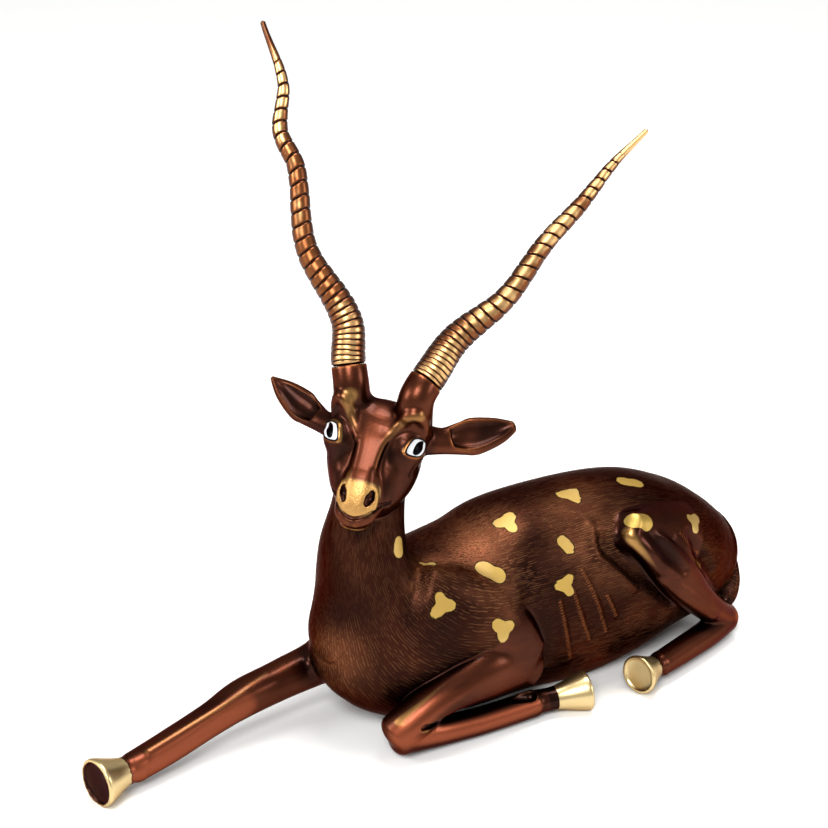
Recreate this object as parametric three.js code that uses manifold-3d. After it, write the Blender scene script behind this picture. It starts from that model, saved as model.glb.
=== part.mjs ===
// A reclining ring-horned antelope, cast hollow in brass: one casting, and two horns set on its stubs.
// Millimetres, +Z up. The animal faces -X, its left side is -Y and it lies on z = 0.
import * as THREE from 'three';
import { mergeVertices } from 'three/addons/utils/BufferGeometryUtils.js';
import Module from 'manifold-3d';

const wasm = await Module();
wasm.setup();

// Driving sizes
const BACK_HEIGHT = 203;
const TRUNK_HALF_WIDTH = 88;
const NECK_RADIUS = 38;
const LEG_RADIUS = 15;
const HOOF_RADIUS = 22;
const RIGHT_SIDE_HEIGHT = 0.8;
const CHEEK_HALF_WIDTH = 42.5;
const MUZZLE_HALF_WIDTH = 19.5;
const BRIDGE_HALF_WIDTH = 15;
const EYE_RADIUS = 12;
const HORN_SPACING = 78;
const HORN_RADIUS = 17;
const HORN_GAP = 0.3;
const HORN_RINGS = 32;
const RING_DEPTH = 1.2;

// Head pose: turned to its left, nose down, a little rolled. It is placed between the tops of the stubs.
const HEAD_AT = new THREE.Vector3(-158.4, 0, 386);
const HEAD_TURN = THREE.MathUtils.degToRad(44);
const HEAD_NOD = THREE.MathUtils.degToRad(50);
const HEAD_ROLL = THREE.MathUtils.degToRad(6.8);

const X = new THREE.Vector3(1, 0, 0);
const Y = new THREE.Vector3(0, 1, 0);
const Z = new THREE.Vector3(0, 0, 1);

// Catmull-Rom through rows of numbers, where u counts rows
function spline(rows, u) {
  const span = THREE.MathUtils.clamp(Math.floor(u), 0, rows.length - 2);
  const t = u - span;
  const row = (k) => rows[THREE.MathUtils.clamp(span + k, 0, rows.length - 1)];
  const [a, b, c, d] = [row(-1), row(0), row(1), row(2)];
  return b.map((_, i) => {
    const bend = 2 * a[i] - 5 * b[i] + 4 * c[i] - d[i] + t * (3 * (b[i] - c[i]) + d[i] - a[i]);
    return b[i] + 0.5 * t * (c[i] - a[i] + t * bend);
  });
}

// Rings of points, closed by a pole at each end, as a solid
function skin(rings, first, last) {
  const sides = rings[0].length;
  const points = [...rings.flat(), first, last];
  const index = [];
  const at = (i, j) => i * sides + (j % sides);
  for (let j = 0; j < sides; j++) {
    index.push(points.length - 2, at(0, j + 1), at(0, j));
    index.push(points.length - 1, at(rings.length - 1, j), at(rings.length - 1, j + 1));
    for (let i = 0; i + 1 < rings.length; i++) {
      index.push(at(i, j), at(i, j + 1), at(i + 1, j));
      index.push(at(i, j + 1), at(i + 1, j + 1), at(i + 1, j));
    }
  }
  return new wasm.Manifold(new wasm.Mesh({
    numProp: 3,
    vertProperties: new Float32Array(points.flatMap((p) => p.toArray())),
    triVerts: new Uint32Array(index),
  }));
}

// A limb through rows of [x, y, z, half width, radius above, radius below], rounded at both ends.
// `side` is the direction of the width, `square` the ring's superellipse power.
function limb(rows, { side = Y, sides = 12, steps = 2, square = 2, round = 0.6, frame = null } = {}) {
  const power = 2 / square;
  const centre = (u) => new THREE.Vector3(...spline(rows, u).slice(0, 3));
  const place = (p) => (frame ? p.applyMatrix4(frame) : p);
  const heading = (u) => centre(u + 0.02).sub(centre(u - 0.02)).normalize();
  const middle = (u, push) => centre(u).addScaledVector(heading(u), push);
  const ring = (u, scale, push) => {
    const [, , , wide, above, below = above] = spline(rows, u);
    const tangent = heading(u);
    const across = side.clone().addScaledVector(tangent, -side.dot(tangent)).normalize();
    const up = tangent.clone().cross(across);
    return Array.from({ length: sides }, (_, j) => {
      const angle = (2 * Math.PI * j) / sides;
      const [c, s] = [Math.cos(angle), Math.sin(angle)];
      const x = Math.sign(c) * Math.abs(c) ** power * wide * scale;
      const y = Math.sign(s) * Math.abs(s) ** power * (s > 0 ? above : below) * scale;
      return place(middle(u, push).addScaledVector(across, x).addScaledVector(up, y));
    });
  };
  const end = rows.length - 1;
  const [firstReach, lastReach] = [rows[0], rows[end]].map((row) => round * Math.min(row[3], row[4]));
  const [tilt, shrink] = [Math.sin(0.3 * Math.PI), Math.cos(0.3 * Math.PI)];
  const rings = [ring(0, shrink, -tilt * firstReach)];
  for (let i = 0; i <= end * steps; i++) rings.push(ring(i / steps, 1, 0));
  rings.push(ring(end, shrink, tilt * lastReach));
  return skin(rings, place(middle(0, -firstReach)), place(middle(end, lastReach)));
}

// The same limb on the right side of the body, which lies lower than the left
const flatter = (rows) => rows.map(([x, y, z, ...sizes]) => [x, -y, RIGHT_SIDE_HEIGHT * z, ...sizes]);

// In the head's own frame x runs from the horns to the nose, y to the animal's left, z out of the face
function headFrame() {
  const ahead = new THREE.Vector3(-Math.cos(HEAD_TURN), -Math.sin(HEAD_TURN), 0);
  const left = new THREE.Vector3(Math.sin(HEAD_TURN), -Math.cos(HEAD_TURN), 0);
  left.applyAxisAngle(ahead, -HEAD_ROLL);
  const nose = ahead.clone().applyAxisAngle(left, HEAD_NOD);
  return new THREE.Matrix4().makeBasis(nose, left, nose.clone().cross(left)).setPosition(HEAD_AT);
}

const HEAD = headFrame();
const onHead = (x, y, z) => new THREE.Vector3(x, y, z).applyMatrix4(HEAD);

function trunk() {
  const w = TRUNK_HALF_WIDTH;
  const h = BACK_HEIGHT / 2;
  return limb([
    [-216, 4, 130, 0.46 * w, 46, 50],
    [-192, 3, 120, 0.74 * w, 66, 88],
    [-140, 0, 108, 0.93 * w, 73, 108],
    [-72, 0, 102, 0.98 * w, 0.87 * h, 112],
    [-20, 0, 101, w, 1.03 * h, 110],
    [60, 0, 101, w, 1.04 * h, 118],
    [130, 0, 99, 0.98 * w, 0.98 * h, 106],
    [180, 0, 93, 0.92 * w, 0.84 * h, 86],
    [220, 0, 84, 0.84 * w, 0.67 * h, 70],
    [248, 0, 76, 0.68 * w, 0.5 * h, 56],
  ], { sides: 22, steps: 1, square: 2.25, round: 0.5 });
}

// The shoulder blade swells the side over the foreleg
const SHOULDER = [
  [-152, -50, 152, 28, 40],
  [-112, -62, 130, 29, 46],
  [-76, -66, 104, 25, 40],
];

function neck() {
  const r = NECK_RADIUS;
  return limb([
    [-164, 6, 96, 70, 56, 66],
    [-173, 5, 150, 70, 56, 50],
    [-180, 4, 200, 1.44 * r, 1.26 * r, 0.92 * r],
    [-179.5, 2.5, 250, r, 0.94 * r, 0.94 * r],
    [-171.5, 1.5, 298, 0.96 * r, 0.96 * r, 0.96 * r],
    [-159.5, 0.5, 334, 0.92 * r, 0.86 * r, 0.92 * r],
  ], { sides: 14 });
}

function skull() {
  const w = CHEEK_HALF_WIDTH;
  const cheeks = limb([
    [33, 1, -44, 0.7 * w, 26, 28],
    [46, 2, -46, 0.95 * w, 32, 36],
    [68, 2, -46, w, 32, 40],
    [92, 2, -47, 0.98 * w, 30, 37],
    [114, 1, -41, 0.76 * w, 25, 27],
    [126, 0, -34, 0.5 * w, 18, 18],
  ], { sides: 14, frame: HEAD });
  const b = BRIDGE_HALF_WIDTH;
  const bridge = limb([
    [34, 0, -28, 2.2 * b, 16, 20],
    [48, 0, -20.5, 1.72 * b, 18, 20],
    [68, 0, -18, 1.06 * b, 18.5, 20],
    [118, 0, -20, 1.06 * b, 16, 16],
  ], { sides: 12, square: 3.4, frame: HEAD });
  const m = MUZZLE_HALF_WIDTH;
  const muzzle = limb([
    [106, 0, -24, 0.88 * m, 22, 24],
    [122, 0, -23, m, 22, 24],
    [134, 0, -27, m, 20, 21],
    [145, 0, -34, 0.76 * m, 13, 13],
  ], { sides: 14, square: 2.3, frame: HEAD });
  return cheeks.add(bridge).add(muzzle);
}

// Eyeball between an arched brow and a lower lid
function eye(hand) {
  const side = hand * (CHEEK_HALF_WIDTH - 10);
  const r = EYE_RADIUS;
  const ball = limb([
    [63 - 0.6 * r, side, -19, 0.8 * r, 0.8 * r],
    [63, side, -18, r, r],
    [63 + 0.6 * r, side, -17, 0.8 * r, 0.8 * r],
  ], { sides: 8, frame: HEAD });
  const lid = (rows) => limb(rows, { side: X, sides: 6, steps: 1, frame: HEAD });
  const brow = lid([
    [57, hand * 19.5, -2, 3, 3],
    [47, hand * 26, 0, 5, 5],
    [38, hand * 33, 3, 6, 6],
    [35, hand * 40, 0, 6, 6],
    [41, hand * 45, -11, 4, 4],
  ]);
  const lower = lid([
    [74, hand * 31, -10, 2.5, 2.5],
    [76, hand * 40, -18, 3, 3],
    [67, hand * 45, -29, 2.5, 2.5],
  ]);
  return ball.add(brow).add(lower);
}

// The two nostrils and the mouth line are cut in
function faceCuts() {
  const nostril = (hand) => limb([
    [119, hand * 15.5, -4, 2.5, 4],
    [124, hand * 13.5, -6, 4, 5],
    [129, hand * 11, -8, 2.5, 4],
  ], { sides: 8, frame: HEAD });
  const mouth = limb([
    [127, MUZZLE_HALF_WIDTH + 2, -23, 1.6, 4],
    [143, 0.46 * MUZZLE_HALF_WIDTH, -12, 1.6, 4],
    [146.5, 0, -11.5, 1.6, 4],
    [143, -0.46 * MUZZLE_HALF_WIDTH, -12, 1.6, 4],
    [127, -MUZZLE_HALF_WIDTH - 2, -23, 1.6, 4],
  ], { side: Z, sides: 6, frame: HEAD });
  return nostril(1).add(nostril(-1)).add(mouth);
}

// Ears stand out sideways, hollow towards the front
function ear(hand) {
  const [rise, opens] = hand > 0 ? [3, 1] : [-3.5, 0.88];
  const rows = (inset, lift) => [
    [51, hand * 40, -42 + lift, 17 - inset, 10 - inset],
    [46, hand * 60, -52 + lift, 13.5 - inset, 9 - inset],
    [38, hand * 77, -59 + lift, 16.5 - inset, 9 - inset],
    [31, hand * 90, -64 + lift, 19 - inset, 8 - inset],
    [18, hand * 112, -72 + lift, 13 - inset, 6 - inset],
    [8, hand * 128, -75 + lift, 3, 3],
  ].map(([x, y, z, wide, deep]) => [x - rise, y, z, opens * wide, deep]);
  const shell = limb(rows(0, 0), { side: X, sides: 10, frame: HEAD });
  const hollow = limb(rows(3, 7).slice(2, 5), { side: X, sides: 8, round: 0.9, frame: HEAD });
  return shell.subtract(hollow);
}

// A horn's line from base to tip swings in and out as it spirals: rows of [part of length, swing inwards]
const HORNS = {
  left: {
    hand: 1,
    foot: 33,
    lean: 4,
    tip: new THREE.Vector3(136, -15, 587),
    swing: [[0, 0], [0.15, 5.5], [0.34, -5], [0.54, 1.5], [0.7, 0.5], [0.86, 3], [1, 0]],
  },
  right: {
    hand: -1,
    foot: -28,
    lean: 0,
    tip: new THREE.Vector3(-180, 196, 694),
    swing: [[0, 0], [0.13, 8.5], [0.35, -12.5], [0.58, -3], [0.69, -9.5], [0.82, 5], [1, 0]],
  },
};

function hornLine({ hand, tip, swing }) {
  const base = onHead(0, (hand * HORN_SPACING) / 2, 0);
  const axis = tip.clone().sub(base);
  const along = axis.clone().normalize();
  const inward = new THREE.Vector3().setFromMatrixColumn(HEAD, 1).multiplyScalar(-hand);
  inward.addScaledVector(along, -inward.dot(along)).normalize();
  const swingAt = (t) => {
    const k = THREE.MathUtils.clamp(swing.findLastIndex((row) => row[0] <= t), 0, swing.length - 2);
    return spline(swing, k + (t - swing[k][0]) / (swing[k + 1][0] - swing[k][0]))[1];
  };
  return (t) => base.clone().addScaledVector(axis, t).addScaledVector(inward, swingAt(t));
}

const heading = (line, t) => line(Math.min(t + 0.01, 1)).sub(line(Math.max(t - 0.01, 0))).normalize();

// Thick at the base, a long even taper and a slender tip
const hornRadius = (t) => spline([[HORN_RADIUS], [14.6], [11], [9.4], [8], [5.2], [2.6]], 6 * t)[0];

function horn(shape) {
  const line = hornLine(shape);
  const sides = 8;
  const rows = 2 * HORN_RINGS + 5;
  const rings = [];
  for (let i = 0; i <= rows; i++) {
    const t = i / rows;
    const tangent = heading(line, t);
    const across = Y.clone().addScaledVector(tangent, -Y.dot(tangent)).normalize();
    const up = tangent.clone().cross(across);
    const ringed = i > 0 && i < 2 * HORN_RINGS;
    const ridge = ringed ? (i % 2 ? -0.5 : 0.5) * RING_DEPTH * (1 - 0.6 * t) : 0;
    const radius = hornRadius(t) + ridge;
    const middle = line(t).addScaledVector(tangent, i === 0 ? HORN_GAP : 0);
    rings.push(Array.from({ length: sides }, (_, j) => {
      const angle = (2 * Math.PI * j) / sides;
      const out = across.clone().multiplyScalar(Math.cos(angle)).addScaledVector(up, Math.sin(angle));
      return middle.clone().addScaledVector(out, radius);
    }));
  }
  const base = line(0).addScaledVector(heading(line, 0), HORN_GAP);
  return skin(rings, base, line(1).addScaledVector(heading(line, 1), 2));
}

// The short stub cast on the head under each horn, flat on top
function stub(shape) {
  const line = hornLine(shape);
  const down = heading(line, 0).negate();
  const top = line(0);
  const foot = onHead(44, shape.foot, -30);
  const left = new THREE.Vector3().setFromMatrixColumn(HEAD, 1);
  const r = HORN_RADIUS;
  const body = limb([
    [...foot, r + 3, r + 3],
    [...top.clone().addScaledVector(down, 22).addScaledVector(left, shape.lean), r + 1, r + 1],
    [...top, r + 0.5, r + 0.5],
  ], { sides: 8, round: 0.8 });
  return body.trimByPlane(down.toArray(), down.dot(top));
}

// A hoof flares from the pastern to a flat round sole
function hoof(from, to, radius) {
  const [a, b] = [new THREE.Vector3(...from), new THREE.Vector3(...to)];
  const at = (t) => a.clone().lerp(b, t).toArray();
  return limb([
    [...at(0), 0.62 * radius, 0.62 * radius],
    [...at(0.28), 0.58 * radius, 0.58 * radius],
    [...at(0.75), 0.87 * radius, 0.87 * radius],
    [...at(1), radius, radius],
  ], { sides: 12, steps: 1, round: 0.1 });
}

function stretchedForeleg() {
  const r = LEG_RADIUS;
  const leg = limb([
    [-150, 44, 84, 38, 44],
    [-206, 48, 55, 23, 25],
    [-260, 45, 47.5, 19.5, 20.5],
    [-310, 39, 43.5, 1.28 * r, 1.28 * r],
    [-350, 33, 35, 1.1 * r, 1.1 * r],
    [-405, 22, 26.5, 1.07 * r, 1.07 * r],
    [-446, 14, 22, r, r],
  ], { sides: 10, square: 2.4 });
  return leg.add(hoof([-440, 15, 22], [-489, 6, 23.5], HOOF_RADIUS + 3));
}

function foldedForeleg() {
  const upperArm = limb([
    [-92, -60, 124, 30, 42],
    [-66, -72, 98, 28, 38],
    [-44, -84, 72, 18, 26],
  ], { sides: 8, steps: 1 });
  const forearm = limb([
    [-36, -91, 54, 9, 17],
    [-54, -88, 64, 15, 24],
    [-92, -85, 68, 22, 29],
    [-148, -84, 57, 22, 21],
    [-182, -82.5, 39, 21.5, 21],
    [-195, -79.5, 27.5, 22, 22],
  ], { sides: 10 });
  const cannon = limb([
    [-193, -80, 24.5, 21, 20],
    [-148, -85, 17.5, 15.5, 15.5],
    [-98, -89, 15.5, 14.5, 14.5],
    [-38, -91, 16, 14.5, 14.5],
  ], { sides: 10 });
  const foot = hoof([-33, -91, 16], [22, -103, 18.5], HOOF_RADIUS - 1);
  return upperArm.add(forearm).add(cannon).add(foot);
}

const THIGH = [
  [196, -36, 98, 44, 48],
  [160, -48, 128, 38, 46],
  [122, -60, 154, 26, 34],
  [94, -70, 175, 16, 20],
];
const SHANK = [
  [90, -76, 174, 13, 18, 12],
  [114, -82, 147, 15, 24, 14],
  [150, -86, 106, 16, 24, 21],
  [200, -79, 56, 15, 15.5, 18],
  [238, -66, 25, 16, 13.5, 18],
];
const HIND_CANNON = [
  [236, -66, 22, 17, 18],
  [202, -80, 20, 15, 16],
  [155, -94, 20, 14, 15],
  [118, -104, 20, 13.5, 13.5],
];

function hindLeg(side, sides) {
  const rows = side < 0 ? (r) => r : flatter;
  const [thigh, shank, cannon] = [THIGH, SHANK, HIND_CANNON].map((part) => limb(rows(part), { sides }));
  const foot = hoof([120, side * 103, 20], [82, side * 113, 22.5], HOOF_RADIUS - 1);
  return thigh.add(shank).add(cannon).add(foot);
}

function tail() {
  return limb([
    [258, -2, 112, 11, 8],
    [269, -16, 84, 12, 7],
    [262, -38, 60, 15, 9],
    [251, -50, 42, 15, 10],
    [242, -54, 30, 9, 9],
  ], { sides: 8, steps: 1 });
}

function animal() {
  const pieces = [
    trunk(), neck(), skull(), eye(1), eye(-1), ear(1), ear(-1), stub(HORNS.left), stub(HORNS.right),
    stretchedForeleg(), foldedForeleg(), hindLeg(-1, 10), hindLeg(1, 8), tail(),
    ...[SHOULDER, flatter(SHOULDER)].map((rows) => limb(rows, { sides: 10, steps: 1 })),
  ];
  const lying = wasm.Manifold.union(pieces).subtract(faceCuts()).trimByPlane(Z.toArray(), 0);
  // Pockets closed in between limbs are filled by keeping the outer skin alone
  return lying.decompose().reduce((a, b) => (a.volume() > b.volume() ? a : b));
}

function mesh(name, solid, material) {
  const data = solid.getMesh();
  const geometry = new THREE.BufferGeometry();
  geometry.setAttribute('position', new THREE.BufferAttribute(data.vertProperties, 3));
  geometry.setIndex(new THREE.BufferAttribute(data.triVerts, 1));
  const node = new THREE.Mesh(mergeVertices(geometry), material);
  node.name = name;
  return node;
}

const brass = (color, roughness, metalness) =>
  new THREE.MeshStandardMaterial({ color, roughness, metalness });
const lacqueredBrass = brass(0x3a2016, 0.32, 0.9);
const polishedBrass = () => brass(0x9a6a2c, 0.28, 1);

const statue = new THREE.Group();
statue.name = 'reclining_antelope';
statue.add(mesh('body', animal(), lacqueredBrass));
statue.add(mesh('horn_left', horn(HORNS.left), polishedBrass()));
statue.add(mesh('horn_right', horn(HORNS.right), polishedBrass()));

export default statue;
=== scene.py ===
# %% [markdown]
# # A reclining ring-horned antelope in lacquered brass
# The statue is one hollow casting with two cast horns set on its stubs. A foundry would model it in clay,
# cast it, chase the hair with punches, lacquer it brown and rub the high places back to gold.
# This lesson goes the same way: soft forms are pressed together, the skin is drawn over them, and the finish
# is worked out for each point of that skin.

import bpy
import numpy as np
import openvdb as vdb
from mathutils import Matrix, Vector


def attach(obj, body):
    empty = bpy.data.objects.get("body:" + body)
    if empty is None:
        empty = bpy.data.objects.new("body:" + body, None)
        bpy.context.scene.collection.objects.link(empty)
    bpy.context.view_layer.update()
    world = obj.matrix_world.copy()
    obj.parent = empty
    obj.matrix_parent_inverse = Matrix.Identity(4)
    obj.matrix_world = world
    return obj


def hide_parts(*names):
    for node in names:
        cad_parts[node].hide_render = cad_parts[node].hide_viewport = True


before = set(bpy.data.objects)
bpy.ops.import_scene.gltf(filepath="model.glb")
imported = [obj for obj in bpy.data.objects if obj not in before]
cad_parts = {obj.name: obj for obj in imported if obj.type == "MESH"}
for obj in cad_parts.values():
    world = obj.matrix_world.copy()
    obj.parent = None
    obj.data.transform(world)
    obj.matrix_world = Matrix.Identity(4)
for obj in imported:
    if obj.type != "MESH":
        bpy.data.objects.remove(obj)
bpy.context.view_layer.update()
print("frame nodes:", sorted(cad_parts))

# %% [markdown]
# A limb of a clay model can be told by a line through its middle, and its width and depth at a few places.
# A curve that passes through all these rows keeps the list short.

# %% A smooth curve through rows of numbers
def through(rows, u):
    """Cubic through the rows, u counting rows: its slope at a row is half the step across that row."""
    rows = np.asarray(rows, float)
    span = np.clip(np.floor(u).astype(int), 0, len(rows) - 2)
    t = (u - span)[:, None]
    a, b, c, d = (rows[np.clip(span + k, 0, len(rows) - 1)] for k in (-1, 0, 1, 2))
    bend = 2 * a - 5 * b + 4 * c - d + t * (3 * (b - c) + d - a)
    return b + 0.5 * t * (c - a + t * bend)


def unit(v):
    """Each vector divided by its length."""
    v = np.asarray(v, float)
    return v / np.maximum(np.linalg.norm(v, axis=-1, keepdims=True), 1e-9)


# %% A limb: rings carried along a curve, closed by rounded ends
STEPS = 16
CAP_STEPS = 7


def limb(rows, side=(0, 1, 0), square=2.0, ends=0.6, sides=48, place=None):
    """Rows are x, y, z, half width, radius above, radius below, in mm. A missing radius repeats the last.
    A ring is a superellipse: width times cos(a)^(2/square) across, radius times sin(a)^(2/square) up.
    Each end is half an ellipse: the ring shrinks by cos and moves on by sin of a quarter turn."""
    rows = np.array([list(row) + [row[-1]] * (6 - len(row)) for row in rows], float)
    last = len(rows) - 1
    cap = np.linspace(0, np.pi / 2, CAP_STEPS + 1)[1:]
    along = np.linspace(0, last, STEPS * last + 1)
    u = np.concatenate([np.zeros(CAP_STEPS), along, np.full(CAP_STEPS, last)])
    lean = np.concatenate([-cap[::-1], np.zeros(len(along)), cap])
    size = through(rows[:, 3:], u)
    ahead = unit(through(rows[:, :3], u + 0.02) - through(rows[:, :3], u - 0.02))
    across = unit(side - ahead * (ahead @ np.array(side, float))[:, None])
    up = np.cross(ahead, across)
    reach = ends * np.minimum(size[:, 0], size[:, 1])
    middle = through(rows[:, :3], u) + ahead * (reach * np.sin(lean))[:, None]
    angle = 2 * np.pi * np.arange(sides) / sides
    wide, tall = (np.sign(v) * np.abs(v) ** (2 / square) for v in (np.cos(angle), np.sin(angle)))
    size = size * np.cos(lean)[:, None]
    height = np.where(tall > 0, size[:, 1:2], size[:, 2:3]) * tall
    points = middle[:, None] + (size[:, :1] * wide)[..., None] * across[:, None]
    points = (points + height[..., None] * up[:, None]).reshape(-1, 3)
    return (points if place is None else place(points)), wrap(len(u), sides)


def wrap(rings, sides):
    """Four-cornered faces of a grid of rings by sides, joined round each ring."""
    i, j = np.meshgrid(np.arange(rings - 1), np.arange(sides), indexing="ij")
    k = (j + 1) % sides
    corners = (i * sides + j, i * sides + k, (i + 1) * sides + k, (i + 1) * sides + j)
    return np.stack(corners, -1).reshape(-1, 4)


def cord(rows):
    """A thin round limb, whose width points along the axis that it crosses most squarely."""
    steps = np.abs(np.diff(np.array(rows)[:, :3], axis=0)).max(0)
    return limb(rows, side=np.eye(3)[np.argmin(steps)], ends=1.0, sides=16)


# %% [markdown]
# Clay limbs run into each other with a thumbed fillet. A mesh union leaves a hard crease there, so each limb
# becomes a block of distances to its surface, negative inside. Two blocks are joined by taking the smaller
# distance, and rounding it where the two are nearly equal gives the fillet.

# %% Blocks of clay
VOXEL = 1.2
BAND = 15
FAR = VOXEL * BAND


def melt(a, b, blend):
    """The smaller distance, less (blend - |a - b|)^2 / (4 blend) where the two differ by less than blend."""
    if blend == 0:
        return np.minimum(a, b)
    close = np.maximum(blend - np.abs(a - b), 0)
    close[np.maximum(a, b) > FAR - 0.01] = 0
    return np.minimum(a, b) - close * close / (4 * blend)


class Clay:
    """Distances in mm on a block of grid points: `low` is the index of its first point."""

    def __init__(self, low, depth):
        self.low, self.depth = np.asarray(low), depth

    @classmethod
    def empty(cls, low, high):
        low, high = (np.round(np.divide(c, VOXEL)).astype(int) for c in (low, high))
        return cls(low, np.full(high - low + 1, FAR, np.float32))

    @classmethod
    def form(cls, shape):
        """Distances to a closed surface of points and four-cornered faces."""
        points, faces = shape
        low = np.floor(points.min(0) / VOXEL).astype(int) - BAND - 1
        high = np.ceil(points.max(0) / VOXEL).astype(int) + BAND + 1
        grid = vdb.FloatGrid.createLevelSetFromPolygons(
            points.astype(np.float32), quads=faces.astype(np.uint32),
            transform=vdb.createLinearTransform(VOXEL), halfWidth=BAND)
        depth = np.empty(high - low + 1, np.float32)
        grid.copyToArray(depth, ijk=tuple(low.tolist()))
        return cls(low, depth)

    def shared(self, other):
        """Where this block and another, or a shape made into one, lie over each other."""
        other = other if isinstance(other, Clay) else Clay.form(other)
        low = np.maximum(self.low, other.low)
        high = np.minimum(self.low + self.depth.shape, other.low + other.depth.shape)
        return [c.depth[tuple(map(slice, low - c.low, high - c.low))] for c in (self, other)]

    def add(self, other, blend=0.0):
        mine, theirs = self.shared(other)
        mine[:] = melt(mine, theirs, blend)

    def cut(self, other, blend=0.0):
        mine, theirs = self.shared(other)
        mine[:] = -melt(-mine, theirs, blend)

    def bead(self, rows, sink, blend):
        """Adds a cord whose middle lies this deep under the surface."""
        self.add(cord(laid(self, rows, sink)), blend)

    def score(self, rows, sink, blend):
        """Cuts a groove with such a cord."""
        self.cut(cord(laid(self, rows, sink)), blend)

    def trim(self, point, normal):
        """Cuts away what lies beyond a plane: no distance is less than the height over it."""
        axes = [VOXEL * (low + np.arange(n)) - p for low, n, p in zip(self.low, self.depth.shape, point)]
        x, y, z = np.ix_(*axes)
        height = (x * normal[0] + y * normal[1] + z * normal[2]).astype(np.float32)
        np.maximum(self.depth, height, out=self.depth)
        return self

    def at(self, points):
        """Distances at any points, weighted between the eight grid points round each."""
        place = np.clip(points / VOXEL - self.low, 0, np.array(self.depth.shape) - 1.001)
        cell = np.floor(place).astype(int)
        part = place - cell
        total = 0
        for corner in np.ndindex(2, 2, 2):
            share = np.prod(np.where(corner, part, 1 - part), axis=1)
            total = total + share * self.depth[tuple((cell + corner).T)]
        return total

    def slope(self, points, step=VOXEL):
        """The way out: along each axis, how much the distance grows from one side to the other."""
        rise = [self.at(points + step * axis) - self.at(points - step * axis) for axis in np.eye(3)]
        return unit(np.stack(rise, -1))


def laid(clay, rows, sink):
    """Moves each row's middle along the slope until it lies this deep under the surface."""
    rows = np.array(rows, float)
    for _ in range(4):
        depth = clay.at(rows[:, :3])
        rows[:, :3] -= (depth + sink)[:, None] * clay.slope(rows[:, :3])
    return rows.tolist()


def melted(*parts):
    """Pairs of a shape and its blend, in one block."""
    points = np.concatenate([shape[0] for shape, _ in parts])
    block = Clay.empty(points.min(0) - FAR, points.max(0) + FAR)
    for shape, blend in parts:
        block.add(shape, blend)
    return block


RIGHT_SIDE_HEIGHT = 0.8


def handed(rows, hand):
    """The same rows if hand is 1, or those of the other side if it is -1."""
    return [[row[0], row[1] * hand, *row[2:]] for row in rows]


def flatter(rows):
    """The same rows on the right side, where the shoulder and the hind leg lie lower."""
    return [[x, -y, RIGHT_SIDE_HEIGHT * z, *rest] for x, y, z, *rest in rows]


whole = Clay.empty((-510, -150, -6), (294, 150, 414))
print("grid of", whole.depth.shape, "points,", VOXEL, "mm apart")

# %% [markdown]
# The barrel and the neck come first. The widths are those of the solid part, so the two share one outline.

# %% Trunk, neck and tail
BACK_HEIGHT = 203
TRUNK_HALF_WIDTH = 88
NECK_RADIUS = 38
w, h, r = TRUNK_HALF_WIDTH, BACK_HEIGHT / 2, NECK_RADIUS
TRUNK = [
    [-216, 4, 130, 0.46 * w, 46, 50], [-192, 3, 120, 0.74 * w, 66, 88],
    [-140, 0, 108, 0.93 * w, 73, 108], [-72, 0, 102, 0.98 * w, 0.87 * h, 112],
    [-20, 0, 101, w, 1.03 * h, 110], [60, 0, 101, w, 1.04 * h, 118],
    [130, 0, 99, 0.98 * w, 0.98 * h, 106], [180, 0, 93, 0.92 * w, 0.84 * h, 86],
    [220, 0, 84, 0.84 * w, 0.67 * h, 70], [248, 0, 76, 0.68 * w, 0.5 * h, 56],
]
NECK = [
    [-164, 6, 96, 70, 56, 66], [-173, 5, 150, 70, 56, 50], [-180, 4, 200, 1.44 * r, 1.26 * r, 0.92 * r],
    [-179.5, 2.5, 250, r, 0.94 * r, 0.94 * r], [-171.5, 1.5, 298, 0.96 * r, 0.96 * r, 0.96 * r],
    [-159.5, 0.5, 334, 0.92 * r, 0.86 * r, 0.92 * r],
]
TAIL = [
    [258, -2, 112, 11, 8], [269, -16, 84, 12, 7], [262, -38, 60, 15, 9], [251, -50, 42, 15, 10],
    [242, -54, 30, 9],
]
SHOULDER = [[-152, -50, 152, 28, 40], [-112, -62, 130, 29, 46], [-76, -66, 104, 25, 40]]
SHOULDER_VALLEY = [[-44, -80, 166, 6], [-36, -86, 132, 9], [-28, -88, 92, 10], [-22, -86, 58, 8]]
NECK_FILLET, TAIL_FILLET, SHOULDER_FILLET = 10, 4, 12
VALLEY_LIFT = 5
whole.add(limb(TRUNK, square=2.25, ends=0.5, sides=96))
whole.add(limb(NECK, sides=72), NECK_FILLET)
whole.add(limb(TAIL), TAIL_FILLET)
for blade, valley in ((SHOULDER, SHOULDER_VALLEY), (flatter(SHOULDER), handed(SHOULDER_VALLEY, -1))):
    whole.add(limb(blade), SHOULDER_FILLET)
    whole.score(valley, -VALLEY_LIFT, SHOULDER_FILLET)
print("trunk, neck, tail and shoulders")

# %% [markdown]
# The legs fold under the body, except the right foreleg, which is stretched out. The forearm and the cannon
# lie against each other with a dark line between them, so those two meet with almost no fillet.

# %% Hooves and legs
LEG_RADIUS = 15
HOOF_RADIUS = 22
r = LEG_RADIUS


def hoof(start, end, radius):
    """A cone that flares from the pastern to a flat sole."""
    step = np.subtract(end, start)
    flare = [(0, 0.62), (0.28, 0.58), (0.5, 0.68), (0.75, 0.87), (0.93, 1), (1, 1)]
    return limb([[*(start + t * step), k * radius] for t, k in flare], ends=0.06)


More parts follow.
